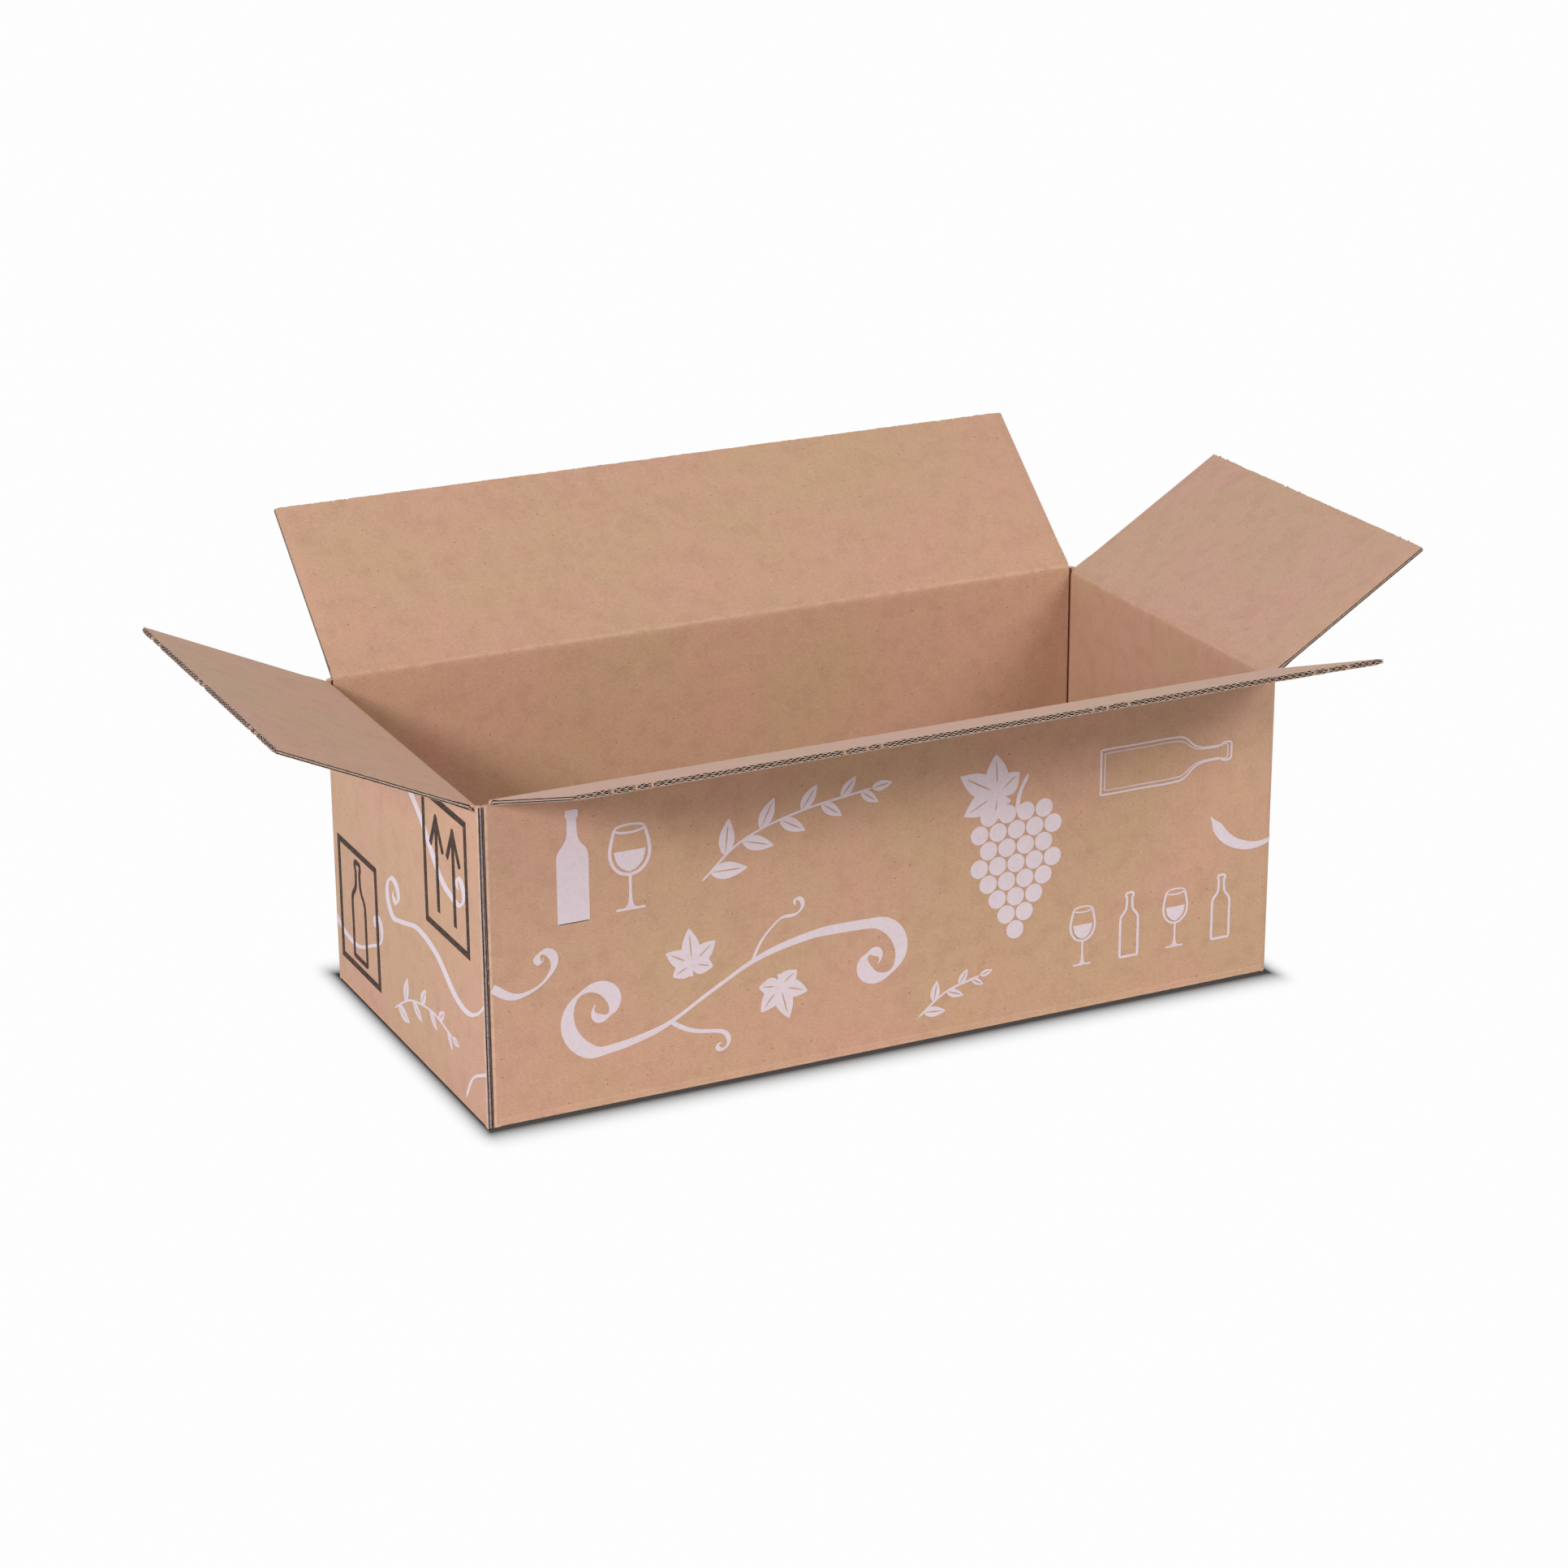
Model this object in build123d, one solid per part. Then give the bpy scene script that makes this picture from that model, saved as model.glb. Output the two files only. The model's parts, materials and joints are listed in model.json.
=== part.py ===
from build123d import *
import math
import os

# A bottle shipping box: a regular slotted carton of double-wall corrugated board.
# It stands open, with its four bottom flaps folded and glued shut and its four top flaps bent outwards.
# Millimetres and degrees. X runs along the box, the long front side faces -Y, +Z is up,
# and the origin is the middle of the underside.

# Size of the box, outside
LENGTH = 400.0
WIDTH = 192.0
HEIGHT = 150.0  # from the floor to the score of the long flaps

# The board: three liners and, between them, two waved layers whose flutes run up the walls
BOARD = 2.7
LINER = 0.35
FLUTE_PITCH = 3.5
FLUTE_WALL = 0.9  # paper left between neighbouring flutes where they open widest

# Folds and scores
FOLD_RADIUS = 2.7  # outside radius of a folded edge
LIP_RADIUS = 2.4  # the same at the lower edge of the end walls
JOINT_RADIUS = 1.3  # the fold beside the glued joint
BEAD_RADIUS = 0.45  # rounded ridge that a top flap turns about
BEAD_CLEARANCE = 0.25
WEB = 0.42  # board crushed flat next to the ridge
CRUSH_HEIGHT = 3.6  # how far a score thins the board
MINOR_DROP = 3.0  # the end flaps are scored this much lower, to close under the long ones

# Slots, gaps and the glued joint
SLOT_CLEARANCE = 0.4  # room between a folded flap and the wall it passes
END_CLEARANCE = 0.3  # how far a flap stops short of its slot's side
TOP_SEAM = 1.4  # left between the long top flaps when they are shut
BOTTOM_SEAM = 0.4
FLOOR_CLEARANCE = 0.2  # the walls' cut lower edges stay off the floor
TAB_WIDTH = 34.0
TAB_END_INSET = 6.0
RAW_EDGE_DEPTH = 0.6  # how deep the flutes lie open along a cut beside them
CREASE_RADIUS = 0.5  # furrow up the inside of a folded corner

# Nubs that the cutting die leaves on the free edges, in groups
NICK_WIDTH = 1.2
NICK_HEIGHT = 0.6
NICK_SPACING = 8.8
LONG_NICKS = 3  # nubs in a group on a long flap
END_NICKS = 2
NICK_GROUPS = {  # where a group's middle lies, as a share of the flap's length
    "front": (0.07, 0.34, 0.64, 0.93),
    "right": (0.08, 0.60, 0.95),
    "back": (0.05, 0.58, 0.93),
    "left": (0.11, 0.46, 0.84),
}

# How far each top flap is bent outwards from upright
FRONT_OPEN = 70.6
RIGHT_OPEN = 58.2
BACK_OPEN = 49.6
LEFT_OPEN = 65.3

# Worked out from the sizes above
SLOT_HALF = BOARD + SLOT_CLEARANCE
FLAP_DEPTH = (WIDTH - TOP_SEAM) / 2
MINOR_HEIGHT = HEIGHT - MINOR_DROP
ROOT_RADIUS = BEAD_RADIUS + BEAD_CLEARANCE
FLUTE_HEIGHT = (BOARD - 3 * LINER) / 2
SCORE_REACH = 2 * CRUSH_HEIGHT  # beyond this the board beside a score is whole
OPENED = {"front": FRONT_OPEN, "right": RIGHT_OPEN, "back": BACK_OPEN, "left": LEFT_OPEN}
TURNS = {"front": 0, "right": 90, "back": 180, "left": 270}  # about Z, from the front


def is_long(side):
    return side in ("front", "back")


def side_length(side):
    return LENGTH if is_long(side) else WIDTH


def score_height(side):
    return HEIGHT if is_long(side) else MINOR_HEIGHT


def fold_start(side):
    """Where a wall begins along its side: the front one begins at its fold, past the left wall's cut edge."""
    return BOARD if side == "front" else 0.0


def side_frame(side):
    """Put a side's own frame in place: x along its wall, y inwards from the outer face, z up."""
    across = WIDTH if is_long(side) else LENGTH
    return Rot(0, 0, TURNS[side]) * Pos(-side_length(side) / 2, -across / 2, 0)


def along_wall(section, start, end):
    """Run a section, drawn as (inwards, up), along a side's wall."""
    return Pos(start, 0, 0) * extrude(Plane.YZ * section, amount=end - start)


def score_at_top(height):
    """The top of a wall: the board crushed from inside to a web, with a round ridge on the outer liner."""
    wedge = make_face(
        Polyline(
            (0, height - SCORE_REACH),
            (BOARD, height - SCORE_REACH),
            (BOARD, height - CRUSH_HEIGHT),
            (WEB, height - math.sqrt(ROOT_RADIUS**2 - WEB**2)),
            (WEB, height),
            (0, height),
            close=True,
        )
    )
    return wedge + Pos(0, height) * Circle(BEAD_RADIUS)


def round_first_corner(face, radius):
    """Round the corner of a face that lies nearest the outside of a fold, low in both directions."""
    return fillet(face.vertices().sort_by(lambda corner: corner.X + corner.Y)[0], radius)


def long_wall_section():
    """Wall and bottom flap of a long side, which lies on the floor and meets its twin at the middle."""
    reach = (WIDTH - BOTTOM_SEAM) / 2
    outline = Polyline(
        (0, 0),
        (reach, 0),
        (reach, BOARD),
        (BOARD, BOARD),
        (BOARD, HEIGHT - CRUSH_HEIGHT),
        (0, HEIGHT - CRUSH_HEIGHT),
        close=True,
    )
    return round_first_corner(make_face(outline), FOLD_RADIUS) + score_at_top(HEIGHT)


def end_wall_section():
    """Wall and bottom flap of an end: the flap lies on the long ones, and the wall hangs past it as a lip."""
    outline = Polyline(
        (0, FLOOR_CLEARANCE),
        (BOARD, FLOOR_CLEARANCE),
        (BOARD, BOARD),
        (FLAP_DEPTH, BOARD),
        (FLAP_DEPTH, 2 * BOARD),
        (BOARD, 2 * BOARD),
        (BOARD, MINOR_HEIGHT - CRUSH_HEIGHT),
        (0, MINOR_HEIGHT - CRUSH_HEIGHT),
        close=True,
    )
    return round_first_corner(make_face(outline), LIP_RADIUS) + score_at_top(MINOR_HEIGHT)


def corner_post():
    """The fold between two walls, as far as the slots beside it, in the frame of the side it starts."""
    plan = Rectangle(SLOT_HALF, SLOT_HALF, align=Align.MIN)
    plan -= Pos(BOARD, BOARD) * Rectangle(SLOT_HALF, SLOT_HALF, align=Align.MIN)
    plan -= Pos(BOARD, BOARD) * Circle(CREASE_RADIUS)
    plan = round_first_corner(plan, FOLD_RADIUS)
    return Pos(0, 0, FLOOR_CLEARANCE) * extrude(plan, amount=HEIGHT - FLOOR_CLEARANCE)


def glued_corner():
    """The front left corner: the left wall's cut edge faces forwards beside the front wall's fold and tab."""
    tall = HEIGHT - FLOOR_CLEARANCE
    raw_edge = Box(BOARD, SLOT_HALF, tall, align=Align.MIN)
    for row in range(2):
        lower = LINER + row * (LINER + FLUTE_HEIGHT)
        raw_edge -= Pos(lower, 0, 0) * Box(FLUTE_HEIGHT, RAW_EDGE_DEPTH, tall, align=Align.MIN)
    fold = Pos(BOARD, 0, 0) * Box(SLOT_HALF, BOARD, tall, align=Align.MIN)
    outer_edge = fold.edges().filter_by(Axis.Z).sort_by(lambda edge: edge.center().X + edge.center().Y)[0]
    fold = fillet(outer_edge, JOINT_RADIUS)
    tab_height = MINOR_HEIGHT - CRUSH_HEIGHT - 2 * TAB_END_INSET
    tab = Pos(BOARD, BOARD, TAB_END_INSET) * Box(BOARD, TAB_WIDTH, tab_height, align=Align.MIN)
    tab = chamfer(tab.edges().filter_by(Axis.X).group_by(Axis.Y)[-1], TAB_END_INSET)
    return Pos(0, 0, FLOOR_CLEARANCE) * (raw_edge + fold + tab)


def box_body():
    body = None
    for side in TURNS:
        section = long_wall_section() if is_long(side) else end_wall_section()
        wall = along_wall(section, fold_start(side) + SLOT_HALF, side_length(side) - SLOT_HALF)
        wall += glued_corner() if side == "front" else corner_post()
        wall = side_frame(side) * wall
        body = wall if body is None else body + wall
    return body


def flute_lines(length):
    """The lines along a flap's free edge where one flute ends and the next begins."""
    count = int(length / FLUTE_PITCH) - 2
    first = (length - count * FLUTE_PITCH) / 2
    return [first + i * FLUTE_PITCH for i in range(count + 1)]


def flutes(length):
    """The hollows in a flap: open at its free edge, and laid open as grooves along its two sides."""
    height = FLAP_DEPTH - SCORE_REACH
    half = (FLUTE_PITCH - FLUTE_WALL) / 2
    hollows = []
    for line in flute_lines(length)[:-1]:
        middle = line + FLUTE_PITCH / 2
        for base, tip in ((LINER, LINER + FLUTE_HEIGHT), (BOARD - LINER, BOARD - LINER - FLUTE_HEIGHT)):
            corners = Polyline((middle - half, base), (middle + half, base), (middle, tip), close=True)
            hollows.append(Pos(0, 0, SCORE_REACH) * extrude(make_face(corners), amount=height))
    for row in range(2):
        groove = Box(RAW_EDGE_DEPTH, FLUTE_HEIGHT, height, align=Align.MIN)
        for end in (0, length - RAW_EDGE_DEPTH):
            hollows.append(Pos(end, LINER + row * (LINER + FLUTE_HEIGHT), SCORE_REACH) * groove)
    return hollows


def nicks(side, length):
    """Nubs on the middle liner along a free edge, each where one flute ends and the next begins."""
    lines = flute_lines(length)
    count = LONG_NICKS if is_long(side) else END_NICKS
    offsets = [(k - (count - 1) / 2) * NICK_SPACING for k in range(count)]
    wanted = [share * length + offset for share in NICK_GROUPS[side] for offset in offsets]
    places = [min(lines, key=lambda line: abs(line - w)) for w in wanted]
    nub = Box(NICK_WIDTH, LINER + FLUTE_HEIGHT / 2, 2 * NICK_HEIGHT)
    return [Pos(place, BOARD / 2, FLAP_DEPTH) * nub for place in places]


def top_flap(side, length):
    """A top flap upright on its score: x along it, y inwards from its outer face, z up from its axis."""
    root = math.sqrt(ROOT_RADIUS**2 - WEB**2)
    start = (0, ROOT_RADIUS)
    outline = Polyline((WEB, root), (BOARD, CRUSH_HEIGHT), (BOARD, FLAP_DEPTH), (0, FLAP_DEPTH), start)
    middle = math.asin(WEB / ROOT_RADIUS) / 2
    hollow = ThreePointArc(
        start,
        (ROOT_RADIUS * math.sin(middle), ROOT_RADIUS * math.cos(middle)),
        (WEB, root),
    )
    flap = extrude(Plane.YZ * make_face(outline + hollow), amount=length)
    return flap - flutes(length) + nicks(side, length)


def placed_flap(side):
    """A top flap on its side of the box, turned outwards about its score."""
    inset = SLOT_HALF + END_CLEARANCE
    start = fold_start(side)
    flap = top_flap(side, side_length(side) - start - 2 * inset)
    return side_frame(side) * Pos(start + inset, 0, score_height(side)) * Rot(OPENED[side], 0, 0) * flap


os.makedirs("parts", exist_ok=True)
export_step(box_body(), "parts/box_body.step")
for side in TURNS:
    export_step(placed_flap(side), f"parts/{side}_flap.step")
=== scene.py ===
import json
import math

import bmesh
import bpy
import numpy as np
from mathutils import Matrix, Vector


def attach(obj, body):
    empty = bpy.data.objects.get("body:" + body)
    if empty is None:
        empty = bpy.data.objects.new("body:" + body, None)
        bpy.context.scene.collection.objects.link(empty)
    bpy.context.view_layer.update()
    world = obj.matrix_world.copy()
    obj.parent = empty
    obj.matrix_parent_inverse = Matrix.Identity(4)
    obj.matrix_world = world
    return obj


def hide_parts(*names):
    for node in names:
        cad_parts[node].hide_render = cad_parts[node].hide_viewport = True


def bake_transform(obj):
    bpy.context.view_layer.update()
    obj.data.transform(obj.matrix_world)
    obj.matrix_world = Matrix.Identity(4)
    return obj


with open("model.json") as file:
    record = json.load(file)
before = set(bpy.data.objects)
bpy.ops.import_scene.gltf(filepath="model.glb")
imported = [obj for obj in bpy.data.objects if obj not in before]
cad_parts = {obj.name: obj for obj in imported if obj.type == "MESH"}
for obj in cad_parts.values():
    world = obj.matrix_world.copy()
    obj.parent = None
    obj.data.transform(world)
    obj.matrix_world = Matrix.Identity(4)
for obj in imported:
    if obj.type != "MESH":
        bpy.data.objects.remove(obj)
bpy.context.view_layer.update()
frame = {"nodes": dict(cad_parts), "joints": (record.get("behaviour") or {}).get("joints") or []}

# Metres. The frame's own directions: +X along the box, the long front side faces -Y, +Z is up.
MM = 0.001

# The board and its scores, as the solids have them
BOARD = 2.7 * MM
LINER = 0.35 * MM
MEDIUM = 0.2 * MM  # thickness of the waved paper
FLUTE_PITCH = 3.5 * MM
FLUTE_HEIGHT = (BOARD - 3 * LINER) / 2
FLAP_DEPTH = 95.3 * MM
CRUSH = 3.6 * MM
WEB = 0.42 * MM
ROOT = 0.7 * MM
RIDGE = 0.45 * MM
FOLD_RADIUS = 2.7 * MM
JOINT_RADIUS = 1.3 * MM
RAW_EDGE_DEPTH = 0.6 * MM
SLOT_HALF = 3.1 * MM
FLOOR_CLEARANCE = 0.2 * MM

# How finely the flaps are modelled
FLUTE_STEPS = 8
LINER_STEP = 1.2 * MM
SKIN_STEP = 1.8 * MM

# Wear along a flap's free edge: pinched spots, torn nubs and a ragged line
SPOT_SPACING = 45 * MM  # besides the nubs, one pinched spot for each such length of free edge
SPOT_WIDTH = (1.5, 4.5)  # millimetres
SPOT_SQUEEZE = (0.08, 0.22)
MOST_SQUEEZE = 0.6
SQUEEZE_REACH = 3.5 * MM
NUB_RISE = (0.95 * MM, 0.58 * MM)  # on an end flap, and on a long one, which meets its twin
NUB_HALF_WIDTH = (0.4, 0.6)  # millimetres
NUB_LAYER = (0.7 * MM, 2.0 * MM)  # where a nub begins and ends in the board's thickness
NUB_TEAR = 0.04 * MM  # how uneven its torn top is
NUB_SQUEEZE = 0.5
NUB_SQUEEZE_WIDTH = 1.1 * MM
SIDE_SQUEEZE = 0.3  # the slotting knives left the board thinner along a flap's sides
SIDE_SQUEEZE_REACH = 5.0 * MM
RAGGED = 0.1 * MM
RAGGED_REACH = 1.0 * MM
RAGGED_STEP = 0.9 * MM

# Cut board on the body: the glued corner, the tops of the folds and the inner bottom flaps
EDGE_PROUD = (0.05, 0.02)  # millimetres that the corner's liners stand out, and how uneven that is
WANDER = 0.28  # millimetres that the waved paper strays between them
WANDER_KNOTS = 8
FOLD_TOP_LIFT = 0.03 * MM
FOLD_TOP_SINK = 0.2 * MM
BOTTOM_EDGE = 1.4  # millimetres of open flutes shown past the solid of an inner bottom flap
BOTTOM_GAP = 0.45 * MM  # between the sides of those flaps' open flutes and the walls

# The skins of paper that run over a score
CREASE_TIGHTNESS = 0.93  # 1 would bend the inner skin in a sharp corner
CREASE_SHARPNESS = 14  # the higher, the narrower is the worn line along a crease, which is also a painted highlight
SKIN = 0.8 * LINER
SKIN_OVERLAP = 0.4 * MM
SKIN_LIFT = 0.012 * MM
SKIN_WAVE = 0.035 * MM  # how uneven a crease is, flute by flute
PLUG = 0.8 * MM  # length of the crushed board that fills the hollow at a skin's ends
PLUG_FILL = 0.9  # share of the hollow that it fills
BEND_HALF = 1.2 * MM  # the outer skin bends this far each side of the score
OUTER_SKIN_REACH = 2.4 * MM
RIDGE_COVER = 0.06 * MM  # how far the outer skin lies above the ridge
RIDGE_REACH = 1.1 * MM
LOWER_FOLD_RADIUS = 0.9 * MM
LOWER_FOLD_REACH = 4.0 * MM

# Ink: each stroke lies a little higher than the one before, so that strokes may cross
INK_LIFT = 0.04 * MM
INK_STEP = 0.002 * MM
DARK_INK_LIFT = 0.2 * MM
INK_SINK = 0.1 * MM
STROKE_STEP = 1.1  # millimetres between a stroke's points
SIGN_LINE = 3.0

# The photograph's camera, found from the box's corners, for a frame 1932 pixels square
PHOTO_SIDE = 1932
FOCAL_PIXELS = 4855.3
SENSOR = 36.0
CAMERA_PLACE = Vector((-762.8, -1562.5, 733.8)) * MM
CAMERA_FORWARD = Vector((0.4079, 0.8457, -0.34412))
CAMERA_RIGHT = Vector((0.89983, -0.4362, -0.00539))

BODY = "box_body"
SIDES = ("front", "right", "back", "left")
JOINTS = {joint["child"]: joint for joint in frame["joints"]}
UPRIGHT_TO_SHUT = 90.0

# Soft light: large round lamps (name, place, width, watts, colour) in a dim white room
ROOM_LIGHT = 0.1
BACKDROP_WHITE = (0.985, 0.985, 0.985, 1.0)
LAMP_TARGET = Vector((0, 0, 0.1))
LAMPS = (
    ("left", (-2.6, -0.5, 0.7), 1.4, 24, (0.95, 1.0, 1.12)),
    ("front_left", (-2.1, -1.9, 1.4), 0.6, 46, (1.0, 1.0, 1.02)),
    ("front_right", (1.6, -1.8, 2.0), 1.8, 47, (1.0, 1.0, 1.0)),
    ("back_high", (0.0, 2.0, 2.2), 1.6, 17, (0.98, 1.0, 1.3)),
)

# The floor is painted dark close to the box's ends (X) and sides (Y), a painted shadow under the lamps' real
# one, and turns to the backdrop's white beyond
FLOOR_HALF = 4.0
SHADOW_CORE = {"X": 0.0, "Y": 3 * MM}
SHADOW_REACH = {"X": 13 * MM, "Y": 24 * MM}
SHADOW_CURVE = 2.7
SHADOW_PAINT = 0.08  # painted shadow: grey that the camera sees on the floor near the box
FLOOR_PAINT = 0.75  # grey of the floor for the light that it throws back on the box


def smooth(x):
    """Rise smoothly from 0 to 1 as x goes from 0 to 1."""
    x = np.clip(x, 0.0, 1.0)
    return x * x * (3.0 - 2.0 * x)


def joint_of(side):
    return JOINTS[side + "_flap"]


def hinge_frame(side):
    """A side's own frame with its origin on the score's axis: x along the wall, y inwards, z up."""
    joint = joint_of(side)
    along = Vector(joint["axis"])
    up = Vector((0, 0, 1))
    inwards = up.cross(along)
    matrix = Matrix((along, inwards, up)).transposed().to_4x4()
    matrix.translation = Vector(joint["pos_m"])
    return matrix


def opened(side):
    """The flap's angle outwards from upright, in radians. Its joint's lower limit is the shut flap."""
    return math.radians(-joint_of(side)["range_deg"][0] - UPRIGHT_TO_SHUT)


def flap_frame(side):
    return hinge_frame(side) @ Matrix.Rotation(opened(side), 4, "X")


def moved(points, matrix):
    """Points, in the last dimension of an array, carried by a matrix."""
    array = np.array(matrix)
    return points @ array[:3, :3].T + array[:3, 3]


def node_points(node, matrix):
    """A CAD node's corners in the frame that the matrix stands for."""
    corners = np.array([corner.co for corner in frame["nodes"][node].data.vertices])
    return moved(corners, matrix.inverted())


HALF_LENGTH = joint_of("right")["pos_m"][0]
HALF_WIDTH = joint_of("back")["pos_m"][1]
TOP = joint_of("back")["pos_m"][2]


def wall_length(side):
    return 2 * (HALF_LENGTH if side in ("front", "back") else HALF_WIDTH)


def wall_frame(side):
    """A side's own frame with its origin at the foot of the wall's left end: x along it, y inwards, z up."""
    across = HALF_WIDTH if side in ("front", "back") else HALF_LENGTH
    matrix = hinge_frame(side)
    matrix.translation = -matrix.col[0].to_3d() * wall_length(side) / 2 - matrix.col[1].to_3d() * across
    return matrix


class Pile:
    """Closed shells of four-sided faces, gathered into one mesh."""

    def __init__(self):
        self.points = []
        self.quads = []
        self.slots = []
        self.count = 0

    def add(self, points, quads, slots):
        self.points.append(points)
        self.quads.append(quads + self.count)
        self.slots.append(slots)
        self.count += len(points)

    def slab(self, upper, lower, upper_slot=0, lower_slot=0, edge_slot=0):
        """Close the space between two grids of points, each rows by columns by 3."""
        rows, columns = upper.shape[:2]
        index = np.arange(rows * columns).reshape(rows, columns)
        top = np.stack([index[:-1, :-1], index[:-1, 1:], index[1:, 1:], index[1:, :-1]], -1).reshape(-1, 4)
        under = top[:, ::-1] + rows * columns
        border = np.concatenate([index[0, :-1], index[:-1, -1], index[-1, :0:-1], index[:0:-1, 0]])
        following = np.roll(border, -1)
        rim = np.stack([following, border, border + rows * columns, following + rows * columns], -1)
        slots = np.repeat([upper_slot, lower_slot, edge_slot], [len(top), len(under), len(rim)])
        points = np.concatenate([upper.reshape(-1, 3), lower.reshape(-1, 3)])
        self.add(points, np.concatenate([top, under, rim]), slots)

    def to_object(self, name, materials, matrix=None, sharp_angle=35.0):
        points = np.concatenate(self.points)
        if matrix is not None:
            points = moved(points, matrix)
        mesh = bpy.data.meshes.new(name)
        mesh.from_pydata(points.tolist(), [], np.concatenate(self.quads).tolist())
        for material in materials:
            mesh.materials.append(material)
        mesh.polygons.foreach_set("material_index", np.concatenate(self.slots).astype(np.int32))
        work = bmesh.new()
        work.from_mesh(mesh)
        bmesh.ops.recalc_face_normals(work, faces=work.faces)
        work.to_mesh(mesh)
        work.free()
        mesh.shade_smooth()
        mesh.set_sharp_from_angle(angle=math.radians(sharp_angle))
        piece = bpy.data.objects.new(name, mesh)
        bpy.context.scene.collection.objects.link(piece)
        return piece


# Materials


def add_node(tree, kind, inputs=None, **settings):
    """A shader node with its settings, its inputs given as values or as sockets to link."""
    node = tree.nodes.new("ShaderNode" + kind)
    for key, value in settings.items():
        setattr(node, key, value)
    for key, value in (inputs or {}).items():
        if isinstance(value, bpy.types.NodeSocket):
            tree.links.new(value, node.inputs[key])
        else:
            node.inputs[key].default_value = value
    return node


def math_node(tree, operation, *values, clamp=False):
    return add_node(tree, "Math", dict(enumerate(values)), operation=operation, use_clamp=clamp).outputs[0]


def mix_colours(tree, share, first, second):
    """A colour that goes from the first to the second as the share goes from 0 to 1."""
    return add_node(tree, "Mix", {0: share, 6: first, 7: second}, data_type="RGBA").outputs[2]


def tinted(tree, colour, share, strength, tint):
    """A colour that goes towards the tint, by the strength at most, as the share goes from 0 to 1."""
    return mix_colours(tree, math_node(tree, "MULTIPLY", share, strength), colour, tint)


def hypotenuse(tree, first, second):
    squares = [math_node(tree, "MULTIPLY", side, side) for side in (first, second)]
    return math_node(tree, "SQRT", math_node(tree, "ADD", *squares))


def noise(tree, place, scale, detail, roughness=0.5):
    inputs = {"Vector": place, "Scale": scale, "Detail": detail, "Roughness": roughness}
    return add_node(tree, "TexNoise", inputs).outputs["Fac"]


def step_between(tree, value, low, high):
    """0 below low and 1 above high, smooth between them. With low above high it falls instead."""
    return add_node(
        tree,
        "MapRange",
        {"Value": value, "From Min": low, "From Max": high},
        interpolation_type="SMOOTHSTEP",
    ).outputs["Result"]


def srgb(red, green, blue):
    """A colour written as a screen shows it, 0 to 255, for a shader."""
    values = [c / 255 for c in (red, green, blue)]
    return [c / 12.92 if c <= 0.04045 else ((c + 0.055) / 1.055) ** 2.4 for c in values] + [1.0]


KRAFT_PINK = srgb(201, 156, 130)
KRAFT_YELLOW = srgb(196, 159, 125)
# paler paper of rubbed creases and folds, which also serves as a painted highlight along them
KRAFT_PALE_WEAR_AND_HIGHLIGHT = srgb(221, 188, 164)
FIBRE_PALE = srgb(214, 181, 156)
FIBRE_DARK = srgb(160, 117, 92)
SPECK = srgb(98, 66, 48)
# painted shade: the colour that the paper darkens to in the inside corners
FURROW_SHADE = srgb(112, 60, 30)
PALE_INK = srgb(224, 212, 219)
DARK_INK = srgb(38, 31, 33)

GRAIN_ALONG = 650.0  # fibres per metre along the board's machine direction
GRAIN_ACROSS = 2200.0
CLOUD_SCALE = 14.0
MOTTLE_SCALE = 95.0
MOTTLE_STRENGTH = 0.22
PALE_FIBRES = 0.42
DARK_FIBRES = 0.4
RIB_STRENGTH = 0.012
RIB_HEIGHT = 0.12  # as a share of the fibres' height
SPECK_CELLS = 260.0
SPECK_SIZE = 0.085
SPECK_SHARE = 0.82  # of the cells, those without a speck
SPECK_STRENGTH = 0.8
WEAR_SCALE = 240.0
WEAR_AND_HIGHLIGHT_REACH = 2.2 * MM
# how much paler a crease is: rubbed wear and a painted highlight
CREASE_WEAR_AND_HIGHLIGHT = 0.35
# how much paler the body's folds and lower edges are: rubbed wear, and a painted highlight along the rounded
# folds
FOLD_WEAR_AND_HIGHLIGHT = 0.6
FURROW_SHADE_REACH = 0.95 * MM  # painted shade around the furrow up an inside corner
FURROW_SHADE_STRENGTH = 0.95
RAW_SCALE = 1400.0
INK_SCALE = 620.0
INK_THINNING = 0.2  # how much more of the paper shows where the ink is thin


def new_material(name):
    material = bpy.data.materials.new(name)
    material.use_nodes = True
    tree = material.node_tree
    tree.nodes.clear()
    return material, tree


def stretched(tree, place, along):
    """Object coordinates stretched so that a noise has grains along X, or along Y."""
    scale = [GRAIN_ACROSS] * 3
    scale["XY".index(along)] = GRAIN_ALONG
    return add_node(tree, "VectorMath", {0: place, 1: scale}, operation="MULTIPLY").outputs[0]


def grain(tree, place, along):
    """Fine fibres, as a noise from 0 to 1."""
    return noise(tree, stretched(tree, place, along), 1.0, 2.0)


def washboard(tree, coordinate):
    """The faint wave that the flutes print through the liner, from -1 to 1."""
    turns = math_node(tree, "MULTIPLY", coordinate, 2 * math.pi / FLUTE_PITCH)
    return math_node(tree, "SINE", turns)


def with_specks(tree, place, colour):
    """The colour with a small dark dot in a few of a noise's cells."""
    cells = add_node(tree, "TexVoronoi", {"Vector": place, "Scale": SPECK_CELLS})
    near = math_node(tree, "LESS_THAN", cells.outputs["Distance"], SPECK_SIZE)
    chosen = add_node(tree, "SeparateColor", {0: cells.outputs["Color"]})
    few = math_node(tree, "GREATER_THAN", chosen.outputs[0], SPECK_SHARE)
    return tinted(tree, colour, math_node(tree, "MULTIPLY", near, few), SPECK_STRENGTH, SPECK)


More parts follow.
